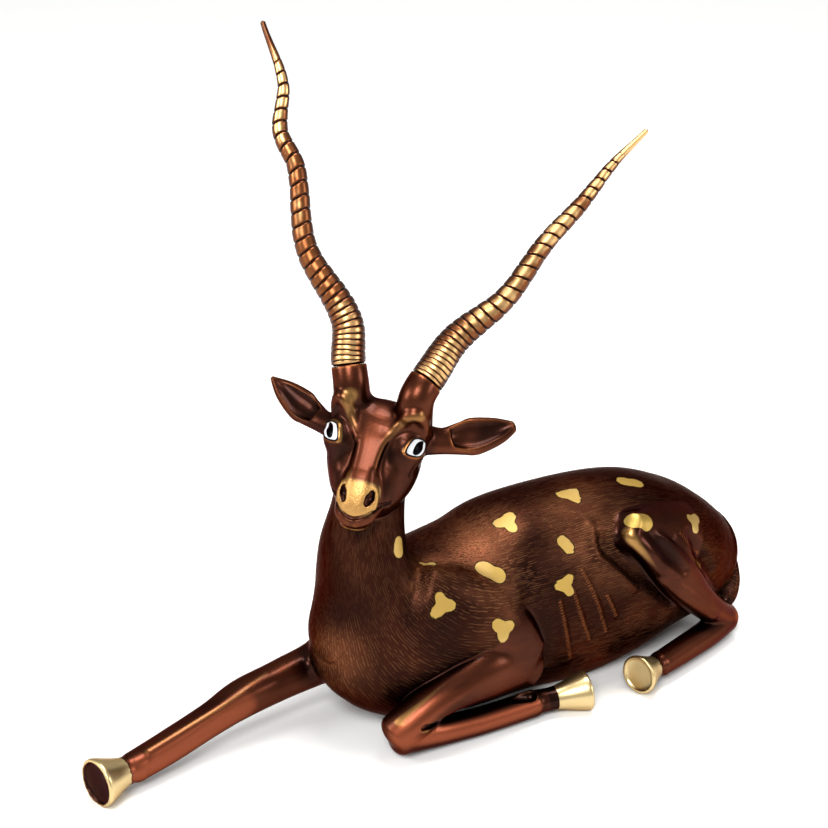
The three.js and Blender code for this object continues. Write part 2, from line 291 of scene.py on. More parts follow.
STRETCHED = [
    [-150, 44, 84, 38, 44], [-206, 48, 55, 23, 25], [-260, 45, 47.5, 19.5, 20.5],
    [-310, 39, 43.5, 1.28 * r], [-350, 33, 35, 1.1 * r], [-405, 22, 26.5, 1.07 * r], [-446, 14, 22, r],
]
SHIN_EDGE = [[-282, 39, 57, 6], [-330, 29, 49, 7], [-380, 21, 40, 7], [-430, 12, 33, 6.5]]
UPPER_ARM = [[-92, -60, 124, 30, 42], [-66, -72, 98, 28, 38], [-44, -84, 72, 18, 26]]
FOREARM = [
    [-36, -91, 54, 9, 17], [-54, -88, 64, 15, 24], [-92, -85, 68, 22, 29], [-148, -84, 57, 22, 21],
    [-182, -82.5, 39, 21.5, 21], [-195, -79.5, 27.5, 22, 22],
]
CANNON = [[-193, -80, 24.5, 21, 20], [-148, -85, 17.5, 15.5], [-98, -89, 15.5, 14.5], [-38, -91, 16, 14.5]]
KNEE_SLIT = [[-180, -104, 41, 3.5], [-152, -104, 37, 6], [-96, -106, 36, 7], [-46, -104, 36, 7]]
THIGH = [[196, -36, 98, 44, 48], [160, -48, 128, 38, 46], [122, -60, 154, 26, 34], [94, -70, 175, 16, 20]]
SHANK = [
    [95, -73, 167, 12, 16, 11], [114, -82, 147, 15, 24, 14], [150, -86, 106, 16, 24, 21],
    [200, -79, 56, 15, 15.5, 18], [238, -66, 25, 16, 13.5, 18],
]
HIND_CANNON = [[236, -66, 22, 17, 18], [202, -80, 20, 15, 16], [155, -94, 20, 14, 15], [118, -104, 20, 13.5]]
# Each hoof: pastern, middle of the sole, radius of the sole
HOOVES = [
    ([-440, 15, 22], [-489, 6, 23.5], HOOF_RADIUS + 3),
    ([-33, -91, 16], [22, -103, 18.5], HOOF_RADIUS - 1),
    ([120, -103, 20], [82, -113, 22.5], HOOF_RADIUS - 1),
    ([120, 103, 20], [82, 113, 22.5], HOOF_RADIUS - 1),
]
FLANK_HOLLOW = [
    [54, -78, 190, 5], [60, -82, 176, 13], [84, -88, 146, 14], [114, -92, 116, 12], [150, -92, 78, 8],
]
HOOF_FILLET, HOLLOW_FILLET, THIGH_FILLET, SLIT_FILLET = 2, 8, 10, 2
HOLLOW_LIFT, SLIT_SINK = 5, 2
shapes = [hoof(*row) for row in HOOVES]
# The fillet between a leg and the body, then the leg's limbs, each with its own fillet
legs = [
    (12, (limb(STRETCHED, square=2.4), 0), (limb(SHIN_EDGE), 5)),
    (2.5, (limb(FOREARM), 0), (limb(UPPER_ARM), 6), (limb(CANNON), 2.5)),
    (3, (limb(SHANK), 0), (limb(HIND_CANNON), 3)),
    (3, (limb(flatter(SHANK)), 0), (limb(flatter(HIND_CANNON)), 3)),
]
for rows in (FLANK_HOLLOW, flatter(FLANK_HOLLOW)):
    whole.cut(limb(laid(whole, rows, -HOLLOW_LIFT)), HOLLOW_FILLET)
for rows in (THIGH, flatter(THIGH)):
    whole.add(limb(rows), THIGH_FILLET)
for (blend, *limbs), shape in zip(legs, shapes):
    whole.add(melted(*limbs, (shape, HOOF_FILLET)), blend)
whole.score(KNEE_SLIT, SLIT_SINK, SLIT_FILLET)
print(len(legs), "legs and hooves")

# %% [markdown]
# The head is turned to the animal's left, nose down. It is easier to model upright at a bench, so its forms
# are given in the head's own frame, with x from the horns to the nose, y to the left and z out of the face,
# and a function carries them to their place.

# %% The head's own frame
HEAD_AT = np.array([-158.4, 0, 386])
HEAD_TURN, HEAD_NOD, HEAD_ROLL = np.radians([44, 50, 6.8])
# Turn about the upright, then roll about the way ahead, then nod about the left-hand axis
ahead = Vector((-np.cos(HEAD_TURN), -np.sin(HEAD_TURN), 0))
left = Matrix.Rotation(-HEAD_ROLL, 3, ahead) @ Vector((np.sin(HEAD_TURN), -np.cos(HEAD_TURN), 0))
nose = Matrix.Rotation(HEAD_NOD, 3, left) @ ahead
HEAD = np.array([nose, left, nose.cross(left)])


def on_head(points):
    """From the head's frame to the animal's."""
    return np.asarray(points, float) @ HEAD + HEAD_AT


def of_head(points):
    """From the animal's frame to the head's."""
    return (points - HEAD_AT) @ HEAD.T


def on_skull(rows):
    """Rows in the head's frame, brought to their place."""
    return [[*on_head(row[:3]), *row[3:]] for row in rows]


def both_ways(rows):
    """Rows from one side to the middle, carried on to the other side."""
    return rows + handed(rows[-2::-1], -1)


print("nose points along", np.round(HEAD[0], 2))

# %% Where the horns run, and the stubs under them
HORN_SPACING = 78
HORN_RADIUS = 17
HORNS = {
    "left": (1, 33, [136, -15, 587],
             [[0, 0], [0.15, 5.5], [0.34, -5], [0.54, 1.5], [0.7, 0.5], [0.86, 3], [1, 0]]),
    "right": (-1, -28, [-180, 196, 694],
              [[0, 0], [0.13, 8.5], [0.35, -12.5], [0.58, -3], [0.69, -9.5], [0.82, 5], [1, 0]]),
}


def horn_line(name, t):
    """Straight from base to tip, plus an inward swing given at some parts of the length."""
    hand, _, tip, swing = HORNS[name]
    base = on_head([0, hand * HORN_SPACING / 2, 0])
    axis = np.array(tip) - base
    inward = -hand * HEAD[1]
    inward = unit(inward - unit(axis) * (inward @ unit(axis)))
    part = np.interp(t, [row[0] for row in swing], range(len(swing)))
    return base + np.outer(t, axis) + through(swing, part)[:, 1:] * inward


STUB_LEAN = 4
WAIST_DROP = 22


def stub(name):
    """The short round post cast under a horn, flat on top and square to the horn's line."""
    top, near = horn_line(name, np.array([0, 0.01]))
    rise = unit(near - top)
    foot = on_head([44, HORNS[name][1], -30])
    k = HORN_RADIUS
    waist = top - WAIST_DROP * rise + STUB_LEAN * max(HORNS[name][0], 0) * HEAD[1]
    post = melted((limb([[*foot, k + 3], [*waist, k + 1], [*top, k + 0.5]], ends=0.8), 0))
    return post.trim(top, rise)


print("horn bases at", [np.round(horn_line(name, np.zeros(1))[0]).tolist() for name in HORNS])

# %% Skull, muzzle and lips
CHEEK_HALF_WIDTH = 42.5
MUZZLE_HALF_WIDTH = 19.5
BRIDGE_HALF_WIDTH = 15
w, b, m = CHEEK_HALF_WIDTH, BRIDGE_HALF_WIDTH, MUZZLE_HALF_WIDTH
CHEEKS = [
    [33, 1, -44, 0.7 * w, 26, 28], [46, 2, -46, 0.95 * w, 32, 36], [68, 2, -46, w, 32, 40],
    [92, 2, -47, 0.98 * w, 30, 37], [114, 1, -41, 0.76 * w, 25, 27], [126, 0, -34, 0.5 * w, 18, 18],
]
BRIDGE = [
    [34, 0, -28, 2.2 * b, 16, 20], [40, 0, -23.5, 2.05 * b, 17, 20], [48, 0, -20.5, 1.72 * b, 18, 20],
    [57, 0, -18.5, 1.34 * b, 18, 20], [68, 0, -18, 1.06 * b, 18.5, 20], [84, 0, -18, 0.92 * b, 18, 20],
    [104, 0, -18, 0.95 * b, 17, 18], [118, 0, -20, 1.06 * b, 16, 16],
]
CHEEK_BONE = [[54, 28, -38, 14], [76, 29, -38, 15], [96, 22, -38, 15], [112, 14, -34, 14]]
SOCKET = [[46, 27, -15, 11], [60, 27, -18, 12], [78, 26, -25, 12], [94, 20, -29, 11]]
MUZZLE = [
    [106, 0, -24, 0.88 * m, 22, 24], [122, 0, -23, m, 22, 24], [134, 0, -27, m, 20, 21],
    [145, 0, -34, 0.76 * m, 13, 13],
]
LOWER_LIP = both_ways([[128, -19, -29, 4], [140, -13.5, -22, 4.5], [147, -5.5, -19, 5], [148.5, 0, -19, 5]])
BONE_FILLET, SOCKET_FILLET, STUB_FILLET = 16, 14, 7
BRIDGE_FILLET, MUZZLE_FILLET = 9, 6
head = Clay.empty((-270, -150, 225), (-40, 150, 414))
head.add(limb(CHEEKS, place=on_head))
for name, (hand, *_) in HORNS.items():
    head.add(limb(handed(CHEEK_BONE, hand), place=on_head), BONE_FILLET)
    head.add(limb(handed(SOCKET, hand), place=on_head), SOCKET_FILLET)
    head.add(stub(name), STUB_FILLET)
head.add(limb(BRIDGE, square=3.4, place=on_head), BRIDGE_FILLET)
head.add(limb(MUZZLE, square=2.3, place=on_head), MUZZLE_FILLET)
head.bead(on_skull(LOWER_LIP), 2.5, 4)
print("head block", head.depth.shape)

# %% Brow ridges, eyes and nostrils
EYE_BALL = 14.5
EYE_DEPTH = 9.4
LID = 1.8
EYE_WIDE, EYE_TALL = 12, 8.2
EYE_ROUND = 1.5
# Where each eye sits and the way it looks: the right one is set further in and looks more ahead
EYES = {
    1: (np.array([64.4, 42.1, -14.3]), unit([-0.1, 0.667, 0.74])),
    -1: (np.array([66.5, -38.6, -11.4]), unit([-0.1, -0.52, 0.84])),
}


def eye_axes(hand):
    """Middle of the eye's opening, and unit vectors to its outer corner, up its face, and out."""
    middle, out = EYES[hand]
    corner = unit([-0.627, 0.547 * hand, -0.579])
    corner = unit(corner - out * (corner @ out))
    up = np.cross(out, corner) * hand
    return middle, corner, up, out


def lens(middle, radius, way=np.eye(3)[0], ends=1.0, place=None):
    """A very short limb: a ball where ends is 1, and flatter where that is less."""
    return limb([[*np.add(middle, k * way), radius] for k in (-0.05, 0.05)], ends=ends, place=place)


BROW = [
    [92, 13, -2, 1.2], [78, 13.5, -2, 2.4], [67, 15.5, -1, 3.2], [57, 19.5, 0, 4], [47, 26, 2, 5.4],
    [38, 33, 6, 6.4], [35, 40, 5, 6], [39, 45.5, -6, 4.4], [47, 48, -16, 2.6],
]
WING = [[114, 16.5, -9, 2.5], [121, 19, -12, 3.4], [130, 16, -17, 2.5]]
NOSTRIL = [[119, 16, -5, 3], [123.5, 14, -6.5, 4.8], [128.5, 11, -8, 3.4]]
nostrils, lids = {}, {}
for hand in (1, -1):
    middle, corner, up, out = eye_axes(hand)
    socket = middle - EYE_DEPTH * out
    head.add(lens(socket, EYE_BALL + LID, place=on_head), 10)
    brow = BROW if hand > 0 else handed(BROW[2:], hand)
    head.bead(on_skull(brow), 1.0, 5)
    opening = [[*(middle + k * out), EYE_WIDE, EYE_TALL] for k in (-8, 30)]
    head.cut(limb(opening, side=corner, square=EYE_ROUND, ends=0.02, place=on_head), 0.6)
    head.add(lens(socket, EYE_BALL, place=on_head), 0.3)
    for lid in (-1, 1):
        t = np.array([-1, -0.8, -0.4, 0, 0.4, 0.8, 1])
        a = 1.1 * EYE_WIDE * t
        b = lid * 1.12 * EYE_TALL * (1 - np.abs(t) ** EYE_ROUND) ** (1 / EYE_ROUND)
        c = np.sqrt((EYE_BALL + 1.2) ** 2 - a * a - b * b)
        rows = socket + np.outer(a, corner) + np.outer(b, up) + np.outer(c, out)
        lids[hand, lid] = laid(head, on_skull([[*row, 1.9 + 0.5 * lid] for row in rows]), 0.6)
        head.add(cord(lids[hand, lid]), 2)
    head.bead(on_skull(handed(WING, hand)), 1.5, 4)
    nostrils[hand] = laid(head, on_skull(handed(NOSTRIL, hand)), 1.5)
    head.cut(cord(nostrils[hand]), 2)
MOUTH = both_ways([
    [114, -22, -34, 1.5], [127, -21, -23, 2], [136, -17, -15, 2], [143, -9, -11.5, 2], [146, 0, -11.5, 2],
])
head.score(on_skull(MOUTH), 0.6, 1)
TEAR = [[72, 50, -19, 1.2], [80, 47.5, -22, 1.2], [90, 43, -27, 1]]
for hand in (1, -1):
    head.score(on_skull(handed(TEAR, hand)), 0.3, 1)
print(len(lids), "lids and", len(nostrils), "nostrils")

# %% Ears
EAR = [
    [51, 40, -42, 17, 10], [46, 60, -52, 13.5, 9], [38, 77, -59, 16.5, 9], [31, 90, -64, 19, 8],
    [18, 112, -72, 13, 6], [8, 128, -75, 3, 3],
]
EAR_CUP = [
    [40, 73, -47, 11, 9], [35, 83, -50, 15.5, 11], [29, 95, -54, 15.8, 10.5], [17, 113, -63, 10, 7],
    [10, 124, -68, 2.5, 2.5],
]
# How far each ear sits up the head, and how wide it opens
EAR_FIT = {1: (3, 1.0), -1: (-3.5, 0.88)}
for hand, (lift, opens) in EAR_FIT.items():
    shell, cup = ([[x - lift, y, z, opens * wide, *deep] for x, y, z, wide, *deep in handed(rows, hand)]
                  for rows in (EAR, EAR_CUP))
    ear = melted((limb(shell, side=(1, 0, 0), place=on_head), 0))
    ear.cut(limb(cup, side=(1, 0, 0), ends=0.35, place=on_head), 1.5)
    head.add(ear, 5)
whole.add(head, 5)
print("head set on the neck, with", len(EAR_FIT), "ears")

# %% [markdown]
# The chaser raised the ribs, the edge of the thigh and the fold of skin at the flank with hammer and punch.
# They stand a few millimetres proud, so they are thin cords half sunk into the skin.

# %% Ribs, crests and the flank fold
RIBS = [
    [[-5, -84, 125, 2.5], [3, -86, 89, 3], [14, -79, 51, 2]],
    [[13, -83, 130, 2.5], [23, -87, 98, 3], [35, -84, 69, 2]],
    [[26, -78, 150, 2], [41, -86, 114, 3], [56, -84, 72, 2]],
    [[55, -86, 115, 2], [61, -87, 102, 2.5], [68, -86, 87, 2]],
]
FLANK_FOLD = [
    [52, -60, 184, 4], [50, -75, 160, 6], [55, -79, 150, 6.5], [71, -84, 132, 6], [89, -86, 112, 4],
]
STIFLE_CREST = [[76, -86, 184, 6], [81, -91, 174, 8], [98, -96, 152, 7], [116, -97, 132, 5]]
HAM_CREST = [[148, -80, 150, 5], [158, -84, 136, 8], [175, -84, 109, 7], [192, -80, 92, 5]]
SHIN = [[126, -98, 113, 5], [160, -95, 84, 7], [199, -86, 51, 5]]
THIGH_GROOVE = [[108, -84, 176, 3], [126, -92, 150, 9], [146, -94, 122, 4]]
HAM_GROOVE = [[168, -74, 152, 3], [180, -78, 130, 7], [198, -76, 104, 3]]
RIB_SINK, RIB_FILLET = 0.8, 4
CREST_FILLET = 8
GROOVE_LIFT = 3
for rib in RIBS:
    for line in (rib, handed(rib, -1)):
        whole.bead(line, RIB_SINK, RIB_FILLET)
# Each crest, and how deep its cord is sunk
for rows, sink in ((FLANK_FOLD, 2.5), (STIFLE_CREST, 5.5), (HAM_CREST, 6), (SHIN, 4.5)):
    for line in (rows, flatter(rows)):
        whole.bead(line, sink, CREST_FILLET)
for rows in (THIGH_GROOVE, HAM_GROOVE):
    for line in (rows, flatter(rows)):
        whole.score(line, -GROOVE_LIFT, CREST_FILLET)


# A lens a little smaller than the sole cuts a shallow hollow into it
DISH_PART, DISH_DEPTH = 0.85, 0.22
for start, end, radius in HOOVES:
    whole.cut(lens(end, DISH_PART * radius, unit(np.subtract(end, start)), DISH_DEPTH), 1)
whole.trim((0, 0, 0), (0, 0, -1))
print(2 * len(RIBS), "ribs raised, and cut flat underneath")

# %% [markdown]
# The skin is the surface where the distance is zero. On a grid this fine it has more faces than a smooth
# flank needs, so the Decimate modifier merges faces there and leaves the face as it is. The distances also
# tell which way is out at any point, which keeps the shading even over merged faces.

# %% The skin of the casting
MM = 0.001
MOST_TRIANGLES = 190_000


def into_mesh(name, points, faces):
    """A new object whose mesh has these points, in mm, and these faces."""
    mesh = bpy.data.meshes.new(name)
    mesh.from_pydata(points * MM, [], faces)
    mesh.update()
    made = bpy.data.objects.new(name, mesh)
    bpy.context.scene.collection.objects.link(made)
    return made


grid = vdb.FloatGrid()
grid.background = FAR
grid.transform = vdb.createLinearTransform(VOXEL)
grid.copyFromArray(whole.depth, ijk=tuple(whole.low.tolist()))
points, faces = grid.convertToQuads(isovalue=0.0)
body = into_mesh("antelope_body", points.astype(float), faces)
fine = of_head(points)
detail = (fine[:, 0] > 10) & (fine[:, 0] < 160) & (np.abs(fine[:, 1]) < 60) & (fine[:, 2] > -50)
group = body.vertex_groups.new(name="merge")
group.add(np.flatnonzero(~detail).tolist(), 1.0, "REPLACE")
merge = body.modifiers.new("merge", "DECIMATE")
merge.vertex_group = "merge"
merge.ratio = MOST_TRIANGLES / (2 * len(faces))
merged = bpy.data.meshes.new_from_object(body.evaluated_get(bpy.context.evaluated_depsgraph_get()))
body.modifiers.clear()
body.vertex_groups.clear()
body.data = merged
print(len(faces), "faces drawn,", len(merged.polygons), "kept")

# %% Points and outward directions of the skin
mesh = body.data
skin = np.empty(3 * len(mesh.vertices), np.float32)
mesh.vertices.foreach_get("co", skin)
skin = skin.reshape(-1, 3).astype(float) / MM
facing = whole.slope(skin)
mesh.shade_smooth()
mesh.normals_split_custom_set_from_vertices(facing.tolist())
mesh.calc_loop_triangles()
print("body skin:", len(mesh.loop_triangles), "triangles,", len(skin), "points")

# %% [markdown]
# The finish follows the form: the lacquer is rubbed thin on the ridges, hair is chased on the barrel and
# neck, the hooves, muzzle and spots are bright brass, and the eyes are painted. Shade is painted dark into
# the hollows and onto the cheeks, and highlights and a sheen are painted onto the legs, the face and the
# coat.
# Each of these is worked out once for every point of the skin and kept as an attribute, which the material
# reads. Where it has to draw a sharp edge between points, a distance in mm is kept rather than a mask.

# %% Painted shade in the hollows, ridges and chased hair
def soft(value, low, high):
    """0 below low, 1 above high and a smooth rise between: 3t^2 - 2t^3."""
    t = np.clip((value - low) / (high - low), 0, 1)
    return t * t * (3 - 2 * t)


def keep(piece, **given):
    """Keeps a number, or a vector, under each name for every point of a piece."""
    for name, values in given.items():
        kind, field = ("FLOAT", "value") if values.ndim == 1 else ("FLOAT_VECTOR", "vector")
        made = piece.data.attributes.new(name, kind, "POINT")
        made.data.foreach_set(field, values.astype(np.float32).ravel())


def bulge(points, reach):
    """Mean distance of six neighbours at this reach: over 0 on a ridge, under 0 in a hollow."""
    steps = [sign * reach * axis for axis in np.eye(3) for sign in (1, -1)]
    return sum(whole.at(points + step) for step in steps) / 6


def bare(points):
    """Distance to the legs and hooves, left smooth from the elbows and the thighs down."""
    hind = [THIGH[1:], SHANK, HIND_CANNON]
    lower = [STRETCHED[1:], UPPER_ARM[1:], FOREARM, CANNON, *hind, *map(flatter, hind)]
    near = np.full(len(points), FAR)
    for leg in map(Clay.form, [limb(rows) for rows in lower] + shapes):
        inside = np.all((points / VOXEL > leg.low) & (points / VOXEL < leg.low + leg.depth.shape), axis=1)
        near[inside] = np.minimum(near[inside], leg.at(points[inside]))
    return near


NOOK_REACH = 12
RIDGE_REACH = 4.0
CHEEK_SHADE = 0.4
# Painted shade: the lacquer is darker the deeper a point lies among the forms round it
nook = 1 - whole.at(skin + NOOK_REACH * facing) / NOOK_REACH
face = of_head(skin)
on_face = (face[:, 0] > 0) * soft(-head.at(skin), -6, -1)
ears = np.maximum(soft(np.abs(face[:, 1]), 38, 42) * soft(skin[:, 2], 296, 306), soft(skin[:, 2], 342, 350))
hair = soft(bare(skin), 2.5, 6.5) * (1 - np.maximum(on_face, ears))
# Painted shade on the cheeks, added to that of the hollows
cheeks = on_face * soft(np.abs(face[:, 1]), 19, 27) * soft(face[:, 0], 50, 66)
keep(body, nook=np.clip(nook + CHEEK_SHADE * cheeks, 0, 1), ridge=bulge(skin, RIDGE_REACH), hair=hair)
print("hair on", round(100 * float(hair.mean())), "% of the points")

# %% Which way the hair lies
SPINE = [
    [262, 0, 96], [130, 0, 112], [0, 0, 112], [-100, 0, 112], [-160, 3, 140], [-184, 4, 200], [-180, 4, 260],
    [-168, 2, 330],
]
SPINE_FADE = 14


def run_along(line):
    """Length along a line of points, from its first point to each."""
    return np.concatenate([[0], np.cumsum(np.linalg.norm(np.diff(line, axis=0), axis=1))])


def along_spine(points):
    """Length along the spine, width from it and height over it. The place on the spine is a mean of its
    points that fades with their distance, so it changes evenly round the bend of the neck."""
    line = through(SPINE, np.linspace(0, len(SPINE) - 1, 120))
    gap = np.sqrt(((points[:, None] - line.astype(np.float32)) ** 2).sum(-1))
    weight = np.exp((gap.min(1, keepdims=True) - gap) / SPINE_FADE)
    weight /= weight.sum(1, keepdims=True)
    ahead = unit(np.gradient(line, axis=0))
    up = unit(np.cross(ahead, [0, 1, 0]))
    away = points - weight @ line
    return np.stack([weight @ run_along(line), away[:, 1], (away * unit(weight @ up)).sum(1)], -1)


keep(body, lie=along_spine(skin.astype(np.float32)))
print("hair lies along a spine of", len(SPINE), "rows")

# %% Brass spots, let into the coat
# x, y, z, size, lobes, turn in degrees
SPOTS = [
    [54, -21, 204, 12, 3, 35], [-32, -28, 197, 12, 3, 35], [134, -18, 197, 12, 2, -20],
    [101, -78, 187, 12, 2, -25], [183, -69, 159, 10, 3, 20], [16, -66, 175, 9.5, 2, -60],
    [-73, -61, 168, 13, 2, -40], [5, -83, 140, 11, 3, 50], [-141, -66, 156, 12, 3, 100],
    [-131, -30, 182, 8, 3, 0], [-172, -41, 217, 9, 2, 80], [-78, -84, 117, 11.5, 3, 15],
]
FAR_SPOTS = [[x + 20, -y, z, *rest] for x, y, z, *rest in SPOTS if y < -40]


def spot(points, x, y, z, size, lobes, turn):
    """How far a point lies inside a lobed outline: size * (1 + 0.3 cos(lobes * angle)), less its radius."""
    middle = np.array([x, y, z], float)
    out = whole.slope(middle[None])[0]
    along = unit(np.array([1.0, 0, 0]) - out * out[0])
    away = points - middle
    a, b = away @ along, away @ np.cross(out, along)
    angle = np.arctan2(b, a) - np.radians(turn)
    edge = size * (1 + 0.3 * np.cos(lobes * angle) + 0.1 * np.cos(angle + x) + 0.06 * np.sin(2 * angle + x))
    return np.where(np.abs(away @ out) < 25, edge - np.hypot(a, b), -50)


keep(body, spot=np.clip(np.max([spot(skin, *row) for row in SPOTS + FAR_SPOTS], axis=0), -20, 20))
print(len(SPOTS) + len(FAR_SPOTS), "spots")

# %% Hooves, muzzle, rubbed ridges and painted highlights
def from_axis(points, start, ahead):
    """How far past the start of an axis a point is, and how far from the axis."""
    past = (points - start) @ ahead
    return past, np.linalg.norm(points - start - np.outer(past, ahead), axis=1)


def hoof_length(points, start, end, radius):
    """How far a point is past the pastern, in mm, if it lies inside the hoof's cone."""
    step = np.subtract(end, start)
    past, off = from_axis(points, start, unit(step))
    length = np.linalg.norm(step)
    return np.where((off < 1.25 * radius) & (past < length + 10), past - 0.36 * length, -30)


def nearest(points, rows):
    """Distance to a line through the rows, the length along it to the nearest place, and the way there."""
    line = through(np.array(rows)[:, :3], np.linspace(0, len(rows) - 1, 60))
    gap = np.sqrt(((points[:, None] - line) ** 2).sum(-1))
    at = gap.argmin(1)
    return gap.min(1), run_along(line)[at], unit(line[at] - points)


def rubbed(points, rows, width, taper=0.0):
    """1 on a line through the rows, 0 from this width on. Both may taper towards the last row."""
    gap, run, _ = nearest(points, rows)
    left = 1 - taper * run / max(run.max(), 1)
    return left * (1 - soft(gap / (width * left), 0.2, 1))


def edge(rows, way):
    """The line where a limb's surface faces this way: each middle moved out by its mean radius."""
    return [row[:3] + 0.5 * (row[3] + row[3:5][-1]) * unit(way) for row in rows]


def sole(points, start, end, radius):
    """1 on the hollow face of a hoof."""
    past, off = from_axis(points, end, unit(np.subtract(end, start)))
    return soft(past, -7, -5) * soft(0.93 * radius - off, 0, 1.5)


# The band over the hoof is kept on the folded foreleg alone
BANDLESS = [0, 2, 3]
lengths = np.array([hoof_length(skin, *row) for row in HOOVES])
lengths[BANDLESS] = np.where(lengths[BANDLESS] < -1, -30, lengths[BANDLESS])
hooves = np.clip(lengths.max(0), -20, 60)
hooves = np.where(sole(skin, *HOOVES[0]) > 0.5, -20, hooves)
over_mouth = face[:, 2] + 12 + 0.68 * (146 - face[:, 0])
nose = soft(face[:, 0], 102, 121) * soft(over_mouth, -3, 11) * soft(-np.abs(face[:, 1]), -22.5, -18.5)
for rows in nostrils.values():
    gap, _, way = nearest(skin, rows)
    nose *= 1 - soft((way * facing).sum(1), 0.1, 0.5) * (gap < 9)
LIP_EDGE = both_ways([[132, -19, -38, 1], [146, -13, -30, 1], [154, -5, -26, 1], [155, 0, -26, 1]])
HORN_STREAK = [[30, -29, 6, 1], [38, -28, 6, 1], [48, -24, 2, 1], [60, -17, 0, 1]]
BRIDGE_STREAK = [[112, -14, -3], [100, -14, -2], [86, -12, 0]]
KNEE_OVER = [[-202, -89, 48, 1], [-176, -93, 65, 1], [-146, -93, 78, 1]]
KNEE_UNDER = [[-202, -89, 48, 1], [-180, -103, 38, 1], [-165, -98, 28, 1]]
# Rows of each line, how wide its band is, how much that tapers, and how far the brass shows. The lines of
# KNEE_OVER, KNEE_UNDER and SHIN_EDGE are painted highlights; the others are brass rubbed bare.
lines = [
    (on_skull(BROW[6::-1]), 11, 0.5, 0.7),
    (on_skull(handed(BROW, -1)[5:2:-1]), 9, 0.5, 0.5),
    (on_skull(HORN_STREAK), 13, 0.5, 0.8),
    (on_skull(LIP_EDGE), 2.2, 0.0, 0.9),
    (STIFLE_CREST, 12, 0.8, 1.0),
    (HAM_CREST[2:0:-1], 8, 0.6, 0.65),
    (SHIN_EDGE, 5, 0.0, 0.5),
    (KNEE_OVER, 7, 0.6, 0.75),
    (KNEE_UNDER, 7, 0.6, 0.75),
]
lines = [(laid(whole, rows, 0), *rest) for rows, *rest in lines]
lines += [(on_head(BRIDGE_STREAK), 12, 0.7, 0.7), (lids[1, 1], 4.5, 0.0, 0.9), (lids[-1, 1], 6, 0.0, 0.9)]
worn = np.max([most * rubbed(skin, rows, width, taper) for rows, width, taper, most in lines], axis=0)
# Painted highlights, in russet: bands along edges of the legs, and over the bridge of the nose
FRONT = (-0.4, -0.85, 0.3)
BRIDGE_TOP = [[46, 0, 0], [75, 0, 0], [102, 0, 0]]
BRIDGE_WARMTH = 0.42
shine = [
    (edge(STRETCHED[3:], (-0.3, -0.95, 0.1)), 24),
    (edge(FOREARM[:1:-1], FRONT), 26, 0.75),
    (edge(CANNON, FRONT), 14),
    (edge(SHANK[:1:-1], FRONT), 10, 0.5),
    (edge(HIND_CANNON[:1], (0.5, -0.6, 0.4)) * 2, 16),
]
warm = np.max([rubbed(skin, *row) for row in shine], axis=0)
warm = np.maximum(warm, BRIDGE_WARMTH * rubbed(skin, on_head(BRIDGE_TOP), 22))
# Painted sheen on the coat, brightest at each middle: a middle and how far it reaches
SHEEN = [
    [-75, -75, 160, 75], [-135, -50, 175, 50], [60, -60, 180, 90], [-60, -30, 200, 60], [-215, -10, 95, 55],
]
sheen = np.max([rubbed(skin, [row[:3]] * 2, row[3]) for row in SHEEN], axis=0)
keep(body, hoof=hooves, nose=nose, worn=worn, warm=warm, sheen=sheen)
print(int((hooves > 0).sum()), "hoof points,", int((nose > 0.5).sum()), "muzzle points")

# %% Punch marks along the ribs
HAM_MARKS = [[156, -81, 158, 0], [166, -83, 143, 0], [181, -79, 126, 0]]
TICKED = RIBS + [HAM_MARKS]
near, beat = np.full(len(skin), FAR), np.zeros(len(skin))
for rows in TICKED:
    gap, run, _ = nearest(skin, laid(whole, rows, 0))
    near, beat = np.where(gap < near, gap, near), np.where(gap < near, run, beat)
keep(body, rib=near, beat=beat)
print(len(TICKED), "lines of punch marks")

# %% Painted eyes
PUPIL_AT = np.array([2.2, -1.0])
# Its long and short half axes, as it is seen from in front: part along the eye and part up it
PUPIL_AXES = np.array([[5.4, 5.4], [6.2, -1.4]])


def painted_eye(points, hand):
    """How far a point lies inside the white, a superellipse, and inside the pupil, an ellipse, in mm."""
    middle, corner, up, out = eye_axes(hand)
    away = points - middle
    a, b, c = away @ corner, away @ up, away @ out
    away = (np.abs(a) / EYE_WIDE) ** EYE_ROUND + (np.abs(b) / EYE_TALL) ** EYE_ROUND
    white = (1 - away ** (1 / EYE_ROUND)) * EYE_TALL
    turned = (np.stack([a, b], -1) - PUPIL_AT) @ np.linalg.inv(PUPIL_AXES)
    dot = (1 - np.linalg.norm(turned, axis=1)) * 6
    near = np.abs(c) < 12
    return np.where(near, white, -20), np.where(near, dot, -20)


pairs = zip(painted_eye(face, 1), painted_eye(face, -1))
whites, pupils = (np.clip(np.maximum(*pair), -20, 20) for pair in pairs)
keep(body, white=whites, pupil=pupils)
print("eye points:", int((whites > 0).sum()))

# %% [markdown]
# A horn is a long waving cone with chased rings: fine lines close together at the base, then broad rings,
# then a smooth tip. Two numbers tell where a point is on it, the part of the length and the angle round it,
# so it is a plain grid whose radius has a narrow groove wherever the ring count passes a whole number.

# %% Horns
HORN_GAP = 0.3
HORN_ROWS, HORN_SIDES = 800, 64
RING_DEPTH = 1.0
# Spacing of the rings in mm, at even parts of the length
RING_PITCH = [5, 5.5, 8.5, 12, 13.5, 13.5, 13, 12.5, 12, 11, 10]
# Radius in mm, at even parts of the length
TAPER = [HORN_RADIUS, 14.6, 11, 9.4, 8, 5.2, 2.6]
RING_LEAN, RING_WOBBLE = 2.6, 0.7
BASE_ROUND = 1.8
# The way the brass side of a horn faces, close to the camera: partly rubbed brass, partly a painted
# highlight
RUBBED_WAY = (-0.55, -0.75, 0.36)


